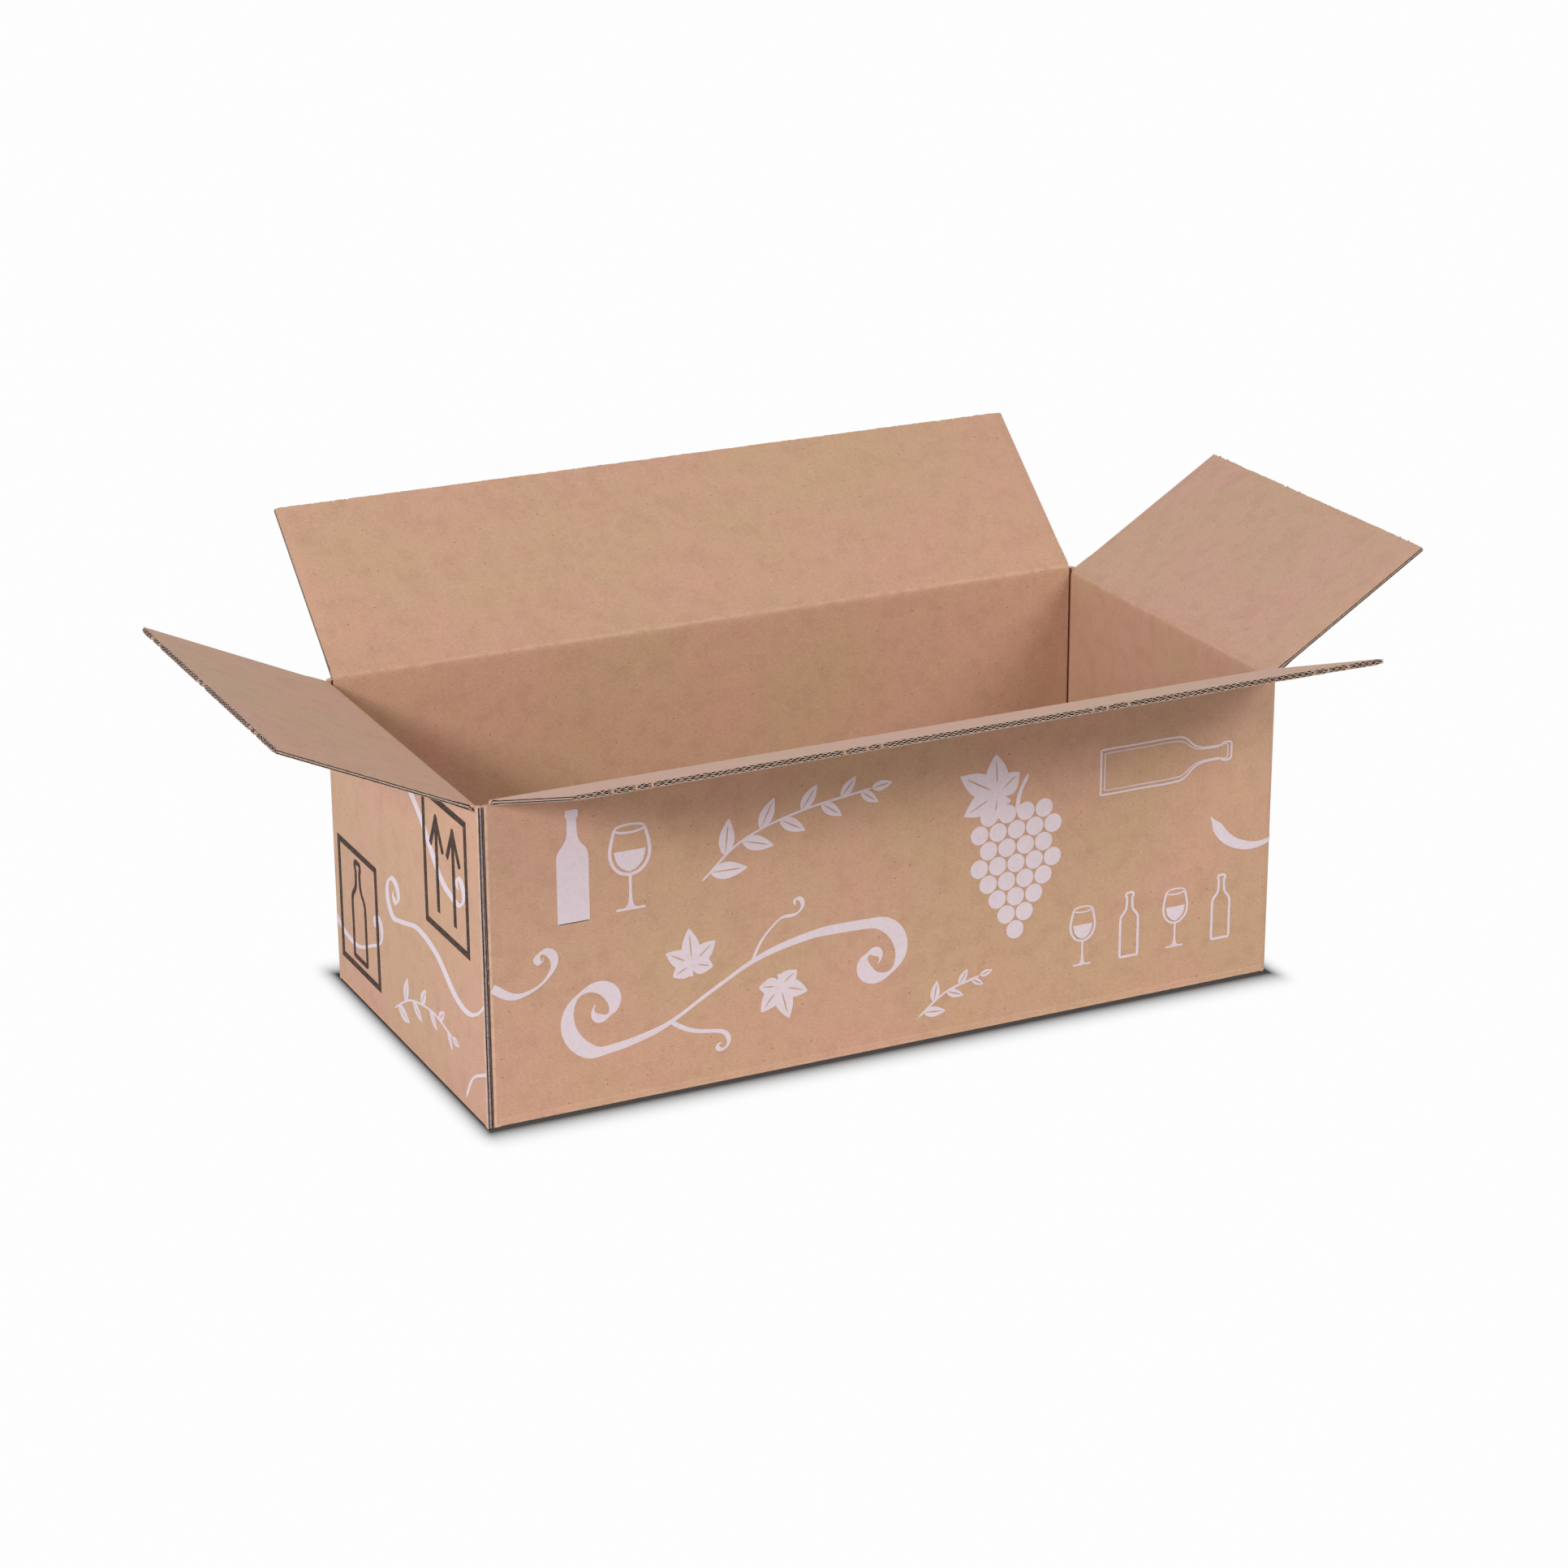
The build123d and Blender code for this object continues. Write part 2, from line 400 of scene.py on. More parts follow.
def kraft_paper(tree, place, along):
    """Colour and height of kraft liner with its flutes side by side along X, along Y, or as a face turns."""
    parts = add_node(tree, "SeparateXYZ", {0: place})
    if along in ("X", "Y"):
        fibres = grain(tree, place, along)
        wave = washboard(tree, parts.outputs[along])
    else:
        normal = add_node(tree, "SeparateXYZ", {0: add_node(tree, "TexCoord").outputs["Normal"]})
        facing = math_node(tree, "ABSOLUTE", normal.outputs["X"])
        on_end = math_node(tree, "GREATER_THAN", facing, 0.7)
        grains = [grain(tree, place, way) for way in "XY"]
        waves = [washboard(tree, parts.outputs[way]) for way in "XY"]
        fibres, wave = (
            add_node(tree, "Mix", {0: on_end, 2: by_x, 3: by_y}).outputs[0] for by_x, by_y in (grains, waves)
        )
    clouds = step_between(tree, noise(tree, place, CLOUD_SCALE, 3.0, 0.6), 0.35, 0.65)
    blotches = step_between(tree, noise(tree, place, MOTTLE_SCALE, 4.0, 0.65), 0.42, 0.72)
    pale = step_between(tree, fibres, 0.56, 0.72)
    dark = step_between(tree, fibres, 0.44, 0.28)
    ribs = math_node(tree, "MULTIPLY_ADD", wave, RIB_STRENGTH, RIB_STRENGTH)
    colour = mix_colours(tree, clouds, KRAFT_PINK, KRAFT_YELLOW)
    colour = tinted(tree, colour, blotches, MOTTLE_STRENGTH, FIBRE_DARK)
    colour = tinted(tree, colour, pale, PALE_FIBRES, FIBRE_PALE)
    colour = tinted(tree, colour, dark, DARK_FIBRES, FIBRE_DARK)
    colour = mix_colours(tree, ribs, colour, FIBRE_DARK)
    height = math_node(tree, "MULTIPLY_ADD", wave, RIB_HEIGHT, fibres)
    return with_specks(tree, place, colour), height


def finish_paper(tree, colour, height, roughness=0.72, bump=0.12, sheen=0.06, specular=0.45):
    relief = add_node(tree, "Bump", {"Strength": bump, "Distance": 0.15 * MM, "Height": height})
    shader = add_node(
        tree,
        "BsdfPrincipled",
        {
            "Base Color": colour,
            "Roughness": roughness,
            "Specular IOR Level": specular,
            "Sheen Weight": sheen,
            "Sheen Roughness": 0.4,
            "Normal": relief.outputs[0],
        },
    )
    output = add_node(tree, "OutputMaterial")
    tree.links.new(shader.outputs[0], output.inputs["Surface"])


def worn_and_highlit_by(tree, place, colour, share, strength):
    """Paper rubbed paler, in patches, where the share is high; along creases and folds this also paints a
    highlight.
    """
    rough = step_between(tree, noise(tree, place, WEAR_SCALE, 2.0), 0.25, 0.6)
    return tinted(tree, colour, math_node(tree, "MULTIPLY", share, rough), strength, KRAFT_PALE_WEAR_AND_HIGHLIGHT)


def kraft_material(name, along):
    """Kraft liner of a flap; its crease, marked on the mesh, is rubbed paler, which also paints the
    highlight along the bend.
    """
    material, tree = new_material(name)
    place = add_node(tree, "TexCoord").outputs["Object"]
    colour, height = kraft_paper(tree, place, along)
    crease_wear_and_highlight = add_node(tree, "Attribute", attribute_name="worn").outputs["Fac"]
    finish_paper(tree, worn_and_highlit_by(tree, place, colour, crease_wear_and_highlight, CREASE_WEAR_AND_HIGHLIGHT), height)
    return material


def band(tree, value, low, high, fade):
    """1 where a value lies between low and high, fading to 0 outside them."""
    rise = step_between(tree, value, low - fade, low)
    fall = step_between(tree, value, high + fade, high)
    return math_node(tree, "MULTIPLY", rise, fall)


def body_material():
    """Kraft board, worn paler at its upright folds and lower edges, which also paints a highlight along
    them, and darkened by painted shade in its inside corners.
    """
    material, tree = new_material("kraft_walls")
    place = add_node(tree, "TexCoord").outputs["Object"]
    colour, height = kraft_paper(tree, place, "both")
    parts = add_node(tree, "SeparateXYZ", {0: place})
    x_size = math_node(tree, "ABSOLUTE", parts.outputs["X"])
    y_size = math_node(tree, "ABSOLUTE", parts.outputs["Y"])
    near_end = step_between(tree, x_size, HALF_LENGTH - WEAR_AND_HIGHLIGHT_REACH, HALF_LENGTH - 0.2 * MM)
    near_side = step_between(tree, y_size, HALF_WIDTH - WEAR_AND_HIGHLIGHT_REACH, HALF_WIDTH - 0.2 * MM)
    low = step_between(tree, parts.outputs["Z"], WEAR_AND_HIGHLIGHT_REACH, 0.4 * MM)
    corner = math_node(tree, "MULTIPLY", near_end, near_side)
    foot = math_node(tree, "MULTIPLY", low, math_node(tree, "MAXIMUM", near_end, near_side))
    joint = band(tree, parts.outputs["X"], BOARD - HALF_LENGTH, BOARD + JOINT_RADIUS - HALF_LENGTH, 0.8 * MM)
    front = step_between(tree, parts.outputs["Y"], WEAR_AND_HIGHLIGHT_REACH - HALF_WIDTH, -HALF_WIDTH)
    # paler folds: rubbed wear, and a painted highlight along the rounded folds and the glued corner's fold
    edges = math_node(tree, "MAXIMUM", corner, foot)
    edges = math_node(tree, "MAXIMUM", edges, math_node(tree, "MULTIPLY", joint, front))
    colour = worn_and_highlit_by(tree, place, colour, edges, FOLD_WEAR_AND_HIGHLIGHT)
    from_end = math_node(tree, "SUBTRACT", x_size, HALF_LENGTH - BOARD)
    from_side = math_node(tree, "SUBTRACT", y_size, HALF_WIDTH - BOARD)
    # painted shade: the paper darkens towards the furrow of each inside corner
    furrow_shade = step_between(tree, hypotenuse(tree, from_end, from_side), FURROW_SHADE_REACH, 0.6 * FURROW_SHADE_REACH)
    finish_paper(tree, tinted(tree, colour, furrow_shade, FURROW_SHADE_STRENGTH, FURROW_SHADE), height)
    return material


def raw_material(name, colour, darker):
    """Cut or waved paper: a soft brown broken up by fibres."""
    material, tree = new_material(name)
    place = add_node(tree, "TexCoord").outputs["Object"]
    fibres = noise(tree, place, RAW_SCALE, 2.0)
    mixed = mix_colours(tree, step_between(tree, fibres, 0.35, 0.7), colour, darker)
    finish_paper(tree, mixed, fibres, roughness=0.9, bump=0.3, sheen=0.0, specular=0.1)
    return material


def ink_material(name, ink, cover, specular):
    """Ink on kraft liner: thin, so that the paper's fibres show through a little."""
    material, tree = new_material(name)
    place = add_node(tree, "TexCoord").outputs["Object"]
    paper, height = kraft_paper(tree, place, "both")
    thin = step_between(tree, noise(tree, place, INK_SCALE, 3.0, 0.7), 0.4, 0.75)
    share = math_node(tree, "MULTIPLY_ADD", thin, -INK_THINNING, cover)
    colour = mix_colours(tree, share, paper, ink)
    finish_paper(tree, colour, height, roughness=0.7, bump=0.08, sheen=0.0, specular=specular)
    return material


KRAFT_WALLS = body_material()
KRAFT_LONG = kraft_material("kraft_long_flaps", "X")
KRAFT_SHORT = kraft_material("kraft_short_flaps", "Y")
CUT_PAPER = raw_material("cut_paper", srgb(222, 198, 180), srgb(190, 158, 136))
LINER_EDGE = raw_material("liner_edge", srgb(190, 162, 144), srgb(154, 124, 104))
WAVE_EDGE = raw_material("wave_edge", srgb(232, 212, 196), srgb(204, 182, 166))
COOL_PAPER = raw_material("cool_cut_paper", srgb(168, 158, 160), srgb(126, 114, 116))
MIDDLE_PAPER = raw_material("middle_paper", srgb(150, 116, 95), srgb(108, 80, 64))
# painted shade: the waved paper, and the liners' faces that meet it, are coloured dark for the shade inside
# the flutes
SHADED_WAVED_PAPER = raw_material("waved_paper", srgb(50, 35, 27), srgb(32, 23, 18))
# painted shade: the dark floor of the raw edge's grooves
GROOVE_SHADE_PAPER = raw_material("deep_paper", srgb(78, 54, 42), srgb(54, 39, 32))
PALE_PRINT = ink_material("pale_print", PALE_INK, 0.93, 0.4)
DARK_PRINT = ink_material("dark_print", DARK_INK, 0.97, 0.1)
BOARD_PAPERS = [LINER_EDGE, SHADED_WAVED_PAPER, MIDDLE_PAPER, WAVE_EDGE]

# Material slots of a piece of board: its kraft liner and then BOARD_PAPERS
KRAFT_FACE, LINER_CUT, SHADED_PAPER_FACE, MIDDLE_CUT, WAVE_CUT = range(5)


def kraft_of(side):
    return KRAFT_LONG if side in ("front", "back") else KRAFT_SHORT


# Flaps: three liners and two waved layers, open at the free edge and at both ends


def flap_span(side):
    """Where a flap begins and ends along its wall, from the middle of the score."""
    along = node_points(side + "_flap", flap_frame(side))[:, 0]
    return along.min(), along.max()


def nub_places(side):
    """Where the nubs of a flap's solid stand along its free edge."""
    corners = node_points(side + "_flap", flap_frame(side))
    high = np.sort(corners[corners[:, 2] > FLAP_DEPTH + 0.2 * MM][:, 0])
    groups = np.split(high, np.nonzero(np.diff(high) > 2 * MM)[0] + 1)
    return [float(group.mean()) for group in groups if len(group)]


def squeezes(side, rng):
    """Place, width and strength of the spots where a free edge is pinched: at each nub, and a few others."""
    start, end = flap_span(side)
    spots = [(place, NUB_SQUEEZE_WIDTH, NUB_SQUEEZE) for place in nub_places(side)]
    for _ in range(int((end - start) / SPOT_SPACING)):
        spots.append((rng.uniform(start, end), rng.uniform(*SPOT_WIDTH) * MM, rng.uniform(*SPOT_SQUEEZE)))
    return spots


def settle(points, span, spots, ragged_at, ragged_by):
    """Ideal board made real: crushed at its root, thin at its sides, pinched and ragged at its edge."""
    u, v, w = points[..., 0], points[..., 1], points[..., 2]
    thickness = WEB + (BOARD - WEB) * np.clip((w - ROOT) / (CRUSH - ROOT), 0, 1)
    v = v * thickness / BOARD
    from_side = np.minimum(u - span[0], span[1] - u)
    past_score = smooth((w - 2 * CRUSH) / SIDE_SQUEEZE_REACH)
    thinner = SIDE_SQUEEZE * (1 - smooth(from_side / SIDE_SQUEEZE_REACH)) * past_score
    v = v + (BOARD / 2 - v) * thinner
    share = sum(strength * np.exp(-(((u - place) / width) ** 2)) for place, width, strength in spots)
    share = np.minimum(share, MOST_SQUEEZE) * smooth((w - FLAP_DEPTH + SQUEEZE_REACH) / SQUEEZE_REACH)
    v = v + (BOARD / 2 - v) * share
    w = w + np.interp(u, ragged_at, ragged_by) * smooth((w - FLAP_DEPTH + RAGGED_REACH) / RAGGED_REACH)
    return np.stack([u, v, w], -1)


def triangle_wave(x):
    """A wave with rounded tips and nearly straight flanks, from -1 to 1."""
    return (np.cos(x) + np.cos(3 * x) / 9) / (1 + 1 / 9)


def depth_rows():
    """Distances from the score of a flap's rows of points, closer together where its form changes."""
    near_root = np.array([0.0, 0.5, 1.0, 1.5, 2.0, 2.9]) * MM + ROOT
    near_edge = FLAP_DEPTH - np.array([86.0, 83.0, 40.0, 6.0, 3.5, 2.4, 1.6, 1.0, 0.5, 0.0]) * MM
    return np.concatenate([near_root, near_edge])


def layer(columns, rows, height):
    """A grid of points over a flap, its height given as one number or one for each column."""
    u, w = np.meshgrid(columns, rows, indexing="ij")
    v = np.broadcast_to(np.reshape(height, (-1, 1)), u.shape)
    return np.stack([u, v, w], -1)


def board_layers(start, end):
    """The board's three liners and two waved papers: columns, lowest and highest points, and material slots.

    At both ends the waved papers meet the middle liner, so that the cut shows a groove each side of it.
    """
    liner_columns = np.linspace(start, end, int((end - start) / LINER_STEP))
    liners = (
        (SHADED_PAPER_FACE, KRAFT_FACE, LINER_CUT),
        (SHADED_PAPER_FACE, SHADED_PAPER_FACE, MIDDLE_CUT),
        (KRAFT_FACE, SHADED_PAPER_FACE, LINER_CUT),
    )
    for number, slots in enumerate(liners):
        low = number * (LINER + FLUTE_HEIGHT)
        yield liner_columns, low, low + LINER, slots
    waves = round((end - start) / FLUTE_PITCH)
    flute_columns = np.linspace(start, end, waves * FLUTE_STEPS + 1)
    slots = (SHADED_PAPER_FACE, SHADED_PAPER_FACE, WAVE_CUT)
    for number in range(2):
        middle = LINER + FLUTE_HEIGHT / 2 + number * (LINER + FLUTE_HEIGHT)
        turns = (waves - number) * 2 * math.pi * (flute_columns - start) / (end - start)
        swing = (FLUTE_HEIGHT - MEDIUM) / 2 * triangle_wave(turns + number * math.pi)
        yield flute_columns, middle + swing - MEDIUM / 2, middle + swing + MEDIUM / 2, slots


def make_flap(side, seed):
    rng = np.random.default_rng(seed)
    start, end = flap_span(side)
    spots = squeezes(side, rng)
    rows = depth_rows()
    pile = Pile()
    ragged_at = np.linspace(start, end, int((end - start) / RAGGED_STEP))
    for columns, low, high, slots in board_layers(start, end):
        ragged_by = rng.normal(0, RAGGED, len(ragged_at))
        upper = settle(layer(columns, rows, high), (start, end), spots, ragged_at, ragged_by)
        lower = settle(layer(columns, rows, low), (start, end), spots, ragged_at, ragged_by)
        pile.slab(upper, lower, *slots)
    for place in nub_places(side):
        add_nub(pile, place, NUB_RISE[side in ("front", "back")], rng)
    piece = pile.to_object(side + "_flap_board", [kraft_of(side), *BOARD_PAPERS], flap_frame(side))
    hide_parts(side + "_flap")
    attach(piece, side + "_flap")


def add_nub(pile, place, rise, rng):
    """A torn bit of paper that the die's nick left standing on the free edge."""
    half = rng.uniform(*NUB_HALF_WIDTH) * MM
    columns = place + half * np.array([-1.0, -0.3, 0.4, 1.0])
    tops = FLAP_DEPTH + rise * np.array([0.3, 0.9, 1.0, 0.35]) + rng.normal(0, NUB_TEAR, 4)
    sides = []
    for height in reversed(NUB_LAYER):
        base = np.stack([columns, np.full(4, height), np.full(4, FLAP_DEPTH - 0.6 * MM)], -1)
        tip = np.stack([columns, np.full(4, height), tops], -1)
        sides.append(np.stack([base, tip], 1))
    pile.slab(*sides, LINER_CUT, LINER_CUT, LINER_CUT)


def make_bottom_edges():
    """Open flutes along the free edges of the two inner bottom flaps."""
    rows = FLAP_DEPTH + np.array([-0.1, 0.0, BOTTOM_EDGE]) * MM
    for side in ("left", "right"):
        pile = Pile()
        start = BOARD + BOTTOM_GAP
        for columns, low, high, slots in board_layers(start, wall_length(side) - start):
            upper, lower = (layer(columns, rows, height)[..., [0, 2, 1]] for height in (high, low))
            pile.slab(upper + [0, 0, BOARD], lower + [0, 0, BOARD], *slots)
        piece = pile.to_object(side + "_bottom_flap_edge", [KRAFT_SHORT, *BOARD_PAPERS], wall_frame(side))
        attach(piece, BODY)


# Paper over the scores


def inner_profile(turn):
    """Points of the inner liner across a score, from the wall to the flap.

    With each comes how pale it is, partly wear and partly painted highlight, and how far the skin's two ends
    fill the crushed hollow below it.
    """
    flap = np.array([-math.sin(turn), math.cos(turn)])
    inwards = np.array([math.cos(turn), math.sin(turn)])
    depth = BOARD + SKIN_LIFT
    first, last = np.array([depth, -CRUSH]), depth * inwards + CRUSH * flap
    handle = CREASE_TIGHTNESS * (CRUSH + depth * math.tan(turn / 2))
    handles = first + np.array([0, handle]), last - handle * flap
    t = np.linspace(0, 1, 21)[:, None]
    s = 1 - t
    arc = s**3 * first + 3 * s**2 * t * handles[0] + 3 * s * t**2 * handles[1] + t**3 * last
    line = np.vstack([first - [0, SKIN_OVERLAP], arc, last + SKIN_OVERLAP * flap])
    rise = np.concatenate([[0], np.sin(math.pi * t[:, 0]), [0]])
    return line, rise**CREASE_SHARPNESS, PLUG_FILL * np.abs(rise) ** 0.4


def outer_profile(turn):
    """The same for the outer liner across a score's ridge."""
    fine = np.linspace(-BEND_HALF, BEND_HALF, 13)
    coarse = np.linspace(BEND_HALF, OUTER_SKIN_REACH, 5)[1:]
    heights = np.concatenate([-coarse[::-1], fine, coarse])
    offset = -SKIN_LIFT - (RIDGE + RIDGE_COVER) * (1 - smooth(np.abs(heights) / RIDGE_REACH))
    angle = turn * smooth((heights + BEND_HALF) / (2 * BEND_HALF))
    line = np.stack(
        [
            offset * np.cos(angle) - heights * np.sin(angle),
            offset * np.sin(angle) + heights * np.cos(angle),
        ],
        -1,
    )
    return line, 0.5 * (1 - smooth(np.abs(heights) / BEND_HALF)), np.zeros(len(heights))


def make_skin(side, name, profile, seed):
    """A strip of liner over a side's score that bends between the wall and the flap."""
    rng = np.random.default_rng(seed)
    start, end = flap_span(side)
    line, worn, plug = profile(opened(side))
    columns = np.linspace(start + 2 * PLUG, end - 2 * PLUG, int((end - start) / SKIN_STEP))
    columns = np.concatenate([[start, start + PLUG], columns, [end - PLUG, end]])
    slope = np.gradient(line, axis=0)
    slope /= np.linalg.norm(slope, axis=1)[:, None]
    outside = np.sign(line[0, 0]) * np.stack([slope[:, 1], -slope[:, 0]], -1)
    knots = np.arange(start, end + MM, FLUTE_PITCH)
    uneven = np.interp(columns, knots, rng.normal(0, SKIN_WAVE, len(knots)))
    lift = np.outer(uneven, worn)

    def grid(depth):
        place = line[None] + outside[None] * (lift - depth)[..., None]
        u = np.repeat(columns[:, None], len(line), 1)
        return np.concatenate([u[..., None], place], -1)

    lower = grid(SKIN)
    share = np.outer(np.abs(columns - columns.mean()) > (end - start) / 2 - 1.5 * PLUG, plug)[..., None]
    lower[..., 1:] += (np.array([WEB, 0]) - lower[..., 1:]) * share
    pile = Pile()
    pile.slab(grid(0.0), lower)
    piece = pile.to_object(name, [kraft_of(side)], hinge_frame(side), sharp_angle=60.0)
    marks = piece.data.attributes.new("worn", "FLOAT", "POINT")
    marks.data.foreach_set("value", np.tile(worn, 2 * len(columns)).astype(np.float32))
    edge = len(line) // 6
    ends = [hinge_frame(side) @ Vector((0, *line[i].tolist())) for i in (edge, len(line) - 1 - edge)]
    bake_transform(piece)


# Edges of the body: the glued corner, the tops of the folds between the slots and the lower folds


def upright_strip(pile, x, y, heights, slot):
    """A strip up the wall between two places along it and two depths, each a number or one per height."""
    sides = []
    for place in x:
        columns = [np.stack(np.broadcast_arrays(place, depth, heights), -1) for depth in y]
        sides.append(np.stack(columns, 1))
    pile.slab(*sides, slot, slot, slot)


def make_raw_edge():
    """The left wall's cut edge at the glued corner: three liners and waved paper wandering between them. The
    waved paper and the inner liner are coloured dark, and dark strips lie at the floor of the grooves, as
    painted shade.
    """
    rng = np.random.default_rng(40)
    papers = [CUT_PAPER, SHADED_WAVED_PAPER, GROOVE_SHADE_PAPER, COOL_PAPER]
    cut, shaded_waved, groove_shade, cool = range(4)
    pile = Pile()
    heights = np.linspace(0.4 * MM, TOP - 0.4 * MM, 90)
    # the inner liner's edge takes the dark waved paper, a painted shade of the fold beside it
    for number, spread, slot in ((0, -0.02, cut), (1, 0.22, cool), (2, -0.02, shaded_waved)):
        low = number * (LINER + FLUTE_HEIGHT)
        proud = rng.normal(*EDGE_PROUD, len(heights)) * MM
        edges = (low - spread * MM, low + LINER + spread * MM)
        upright_strip(pile, edges, (-proud, 0.3 * MM), heights, slot)
    for number in range(2):
        low = LINER + number * (LINER + FLUTE_HEIGHT)
        knots = np.linspace(heights[0], heights[-1], WANDER_KNOTS)
        strays = rng.uniform(-WANDER, WANDER, WANDER_KNOTS) * MM
        middle = low + FLUTE_HEIGHT / 2 + np.interp(heights, knots, strays)
        wave = (middle - MEDIUM / 2, middle + MEDIUM / 2)
        upright_strip(pile, wave, (0.2 * MM, RAW_EDGE_DEPTH + 0.1 * MM), heights, shaded_waved)
        # painted shade: a dark strip at the floor of each groove
        groove = (low, low + FLUTE_HEIGHT)
        depths = (RAW_EDGE_DEPTH - 0.06 * MM, RAW_EDGE_DEPTH + 0.05 * MM)
        upright_strip(pile, groove, depths, heights, groove_shade)
    piece = pile.to_object("glued_corner_raw_edge", papers, wall_frame("front"))
    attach(piece, BODY)


def make_fold_tops():
    """The cut tops of the three folded corners, which stand between the slots."""
    pile = Pile()
    turns = np.radians(np.linspace(0, 90, 7))
    reach = BOARD + 0.35 * MM
    inner = np.array([(reach, BOARD)] + [(BOARD, BOARD)] * len(turns) + [(BOARD, reach)])
    curve = np.stack([1 - np.sin(turns), 1 - np.cos(turns)], -1) * FOLD_RADIUS
    outer = np.vstack([[(reach, 0)], curve, [(0, reach)]])
    outer += (inner - outer) * 0.02
    plan = np.stack([outer, inner], 1)
    heights = (TOP + FOLD_TOP_LIFT, TOP - FOLD_TOP_SINK)
    grids = [np.concatenate([plan, np.full(plan.shape[:2] + (1,), z)], -1) for z in heights]
    for side in ("right", "back", "left"):
        pile.slab(*(moved(grid, wall_frame(side)) for grid in grids))
    piece = pile.to_object("fold_tops", [CUT_PAPER])
    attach(piece, BODY)


def make_lower_folds():
    """Paper over the rounded lower edges of the walls, which the photo shows creased more sharply."""
    pile = Pile()
    turns = np.radians(np.linspace(0, 90, 7))
    curve = np.stack([1 - np.cos(turns), 1 - np.sin(turns)], -1) * LOWER_FOLD_RADIUS
    for side in SIDES:
        foot = 0.0 if side in ("front", "back") else FLOOR_CLEARANCE
        first = SLOT_HALF + (BOARD if side == "front" else 0.0)
        outer = np.vstack([[(0, LOWER_FOLD_REACH)], curve, [(FOLD_RADIUS + LINER, 0)]])
        outer += [-SKIN_LIFT, foot + SKIN_LIFT]
        inner = outer + LINER
        inner[-1, 0] = outer[-1, 0]
        grids = [
            np.stack([np.insert(line, 0, place, axis=1) for place in (first, wall_length(side) - SLOT_HALF)])
            for line in (outer, inner)
        ]
        pile.slab(*(moved(grid, wall_frame(side)) for grid in grids))
    piece = pile.to_object("lower_folds", [KRAFT_WALLS], sharp_angle=60.0)
    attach(piece, BODY)


# Print: ribbons of ink, drawn in millimetres from the foot of a wall's left end as seen from outside


def on_wall(side, spots, out):
    """Points outside the walls for spots given as (along, up), carried round the folds at a side's ends."""
    along, up = spots[..., 0], spots[..., 1]
    low = 0.0 if side == "front" else FOLD_RADIUS
    high = wall_length(side) - (0.0 if side == "left" else FOLD_RADIUS)
    flat = np.clip(along, low, high)
    over = np.abs(along - flat)
    angle = np.clip(over / FOLD_RADIUS, 0, math.pi / 2)
    run = np.maximum(over - FOLD_RADIUS * math.pi / 2, 0)
    x = flat + np.sign(along - flat) * (FOLD_RADIUS + out) * np.sin(angle)
    inwards = FOLD_RADIUS - (FOLD_RADIUS + out) * np.cos(angle) + run
    return np.stack([x, inwards, up], -1)


class Print:
    """All the ink of one colour on one side of the box."""

    def __init__(self, side, lift=INK_LIFT):
        self.side = side
        self.lift = lift
        self.pile = Pile()

    def fill(self, left, right):
        """Ink between two edge lines with as many points each."""
        edges = np.stack([left, right], 1) * MM
        self.pile.slab(on_wall(self.side, edges, self.lift), on_wall(self.side, edges, -INK_SINK))
        self.lift += INK_STEP

    def stroke(self, line, nib, thin=0.8, held=35.0, tapers=(2.0, 2.0)):
        """A line drawn with a broad nib held at an angle, thin where it runs along the nib."""
        line, at = evenly(line)
        run = np.gradient(line, axis=0)
        run /= np.linalg.norm(run, axis=1)[:, None]
        across = np.stack([-run[:, 1], run[:, 0]], -1)
        pen = np.array([math.cos(math.radians(held)), math.sin(math.radians(held))])
        half = np.hypot(across @ pen * nib, thin) / 2
        for distance, taper in ((at, tapers[0]), (at[-1] - at, tapers[1])):
            if taper:
                half = half * (0.12 + 0.88 * smooth(distance / taper))
        self.fill(line + across * half[:, None], line - across * half[:, None])

    def outline(self, line, width):
        """A line of even width whose ends are cut square."""
        self.stroke(line, 0.0, width, tapers=(0, 0))

    def disc(self, centre, radius):
        rise = radius * np.sin(np.radians(np.linspace(-86, 86, 13)))
        half = np.sqrt(radius**2 - rise**2)
        left, right = (np.stack([centre[0] + way * half, centre[1] + rise], -1) for way in (-1, 1))
        self.fill(left, right)

    def silhouette(self, profile, foot, width, height):
        """A filled upright shape, the same left and right, from (height, half width) pairs."""
        sides = profile_points(profile, width, height)
        mirrored = sides * np.array([-1, 1])
        self.fill(mirrored + np.array(foot), sides + np.array(foot))

    def leaf(self, root, direction, length, width):
        """A pointed leaf with a light rib left open along its middle."""
        t = np.linspace(0, 1, 13)
        half = width / 2 * np.sin(math.pi * t**0.8) ** 0.9
        rib = 0.35 * np.sin(math.pi * t) * (t < 0.8)
        for sign in (-1, 1):
            far = np.stack([t * length, sign * (half + 0.15)], -1)
            near = np.stack([t * length, sign * rib], -1)
            self.fill(turned(far, direction) + np.array(root), turned(near, direction) + np.array(root))

    def vine_leaf(self, root, direction, size):
        """A five-lobed leaf on a short stalk."""
        for turn, length in ((-112, 0.62), (112, 0.62), (-56, 0.85), (56, 0.85), (0, 1.0)):
            self.leaf(root, direction + turn, length * size, 0.5 * size)
        back = turned(np.array([[0, 0], [-0.35 * size, 0.06 * size]]), direction) + np.array(root)
        self.stroke(back, 0.0, 0.09 * size, tapers=(0, 0))

    def to_piece(self, name, material):
        piece = self.pile.to_object(name, [material], wall_frame(self.side))
        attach(piece, BODY)


